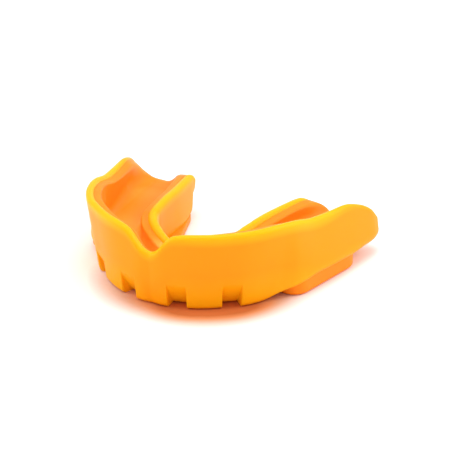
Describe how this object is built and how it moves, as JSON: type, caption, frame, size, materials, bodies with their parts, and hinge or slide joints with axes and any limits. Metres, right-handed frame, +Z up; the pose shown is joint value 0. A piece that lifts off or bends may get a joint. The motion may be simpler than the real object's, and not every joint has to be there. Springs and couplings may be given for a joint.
{
  "type": "mouthguard",
  "caption": "Boil-and-bite sports mouthguard: a U-shaped tooth tray with a notched front rim, a soft fitting liner, vent slots and rear bite pads.",
  "frame": {"origin": "centre of the bounding box's bottom face, on the surface the guard stands on", "axes": "+Z up out of the tooth trough, -Y towards the front of the mouth, +X to the wearer's side that is on the right in the front view"},
  "size_m": [0.0676, 0.0496, 0.0185],
  "materials": {
    "shell": "satin",
    "liner": "satin",
    "pad": "satin"
  },
  "bodies": {
    "root": {"outer_shell": "shell", "fitting_liner": "liner", "bite_pad_right": "pad", "bite_pad_left": "pad"}
  },
  "joints": []
}
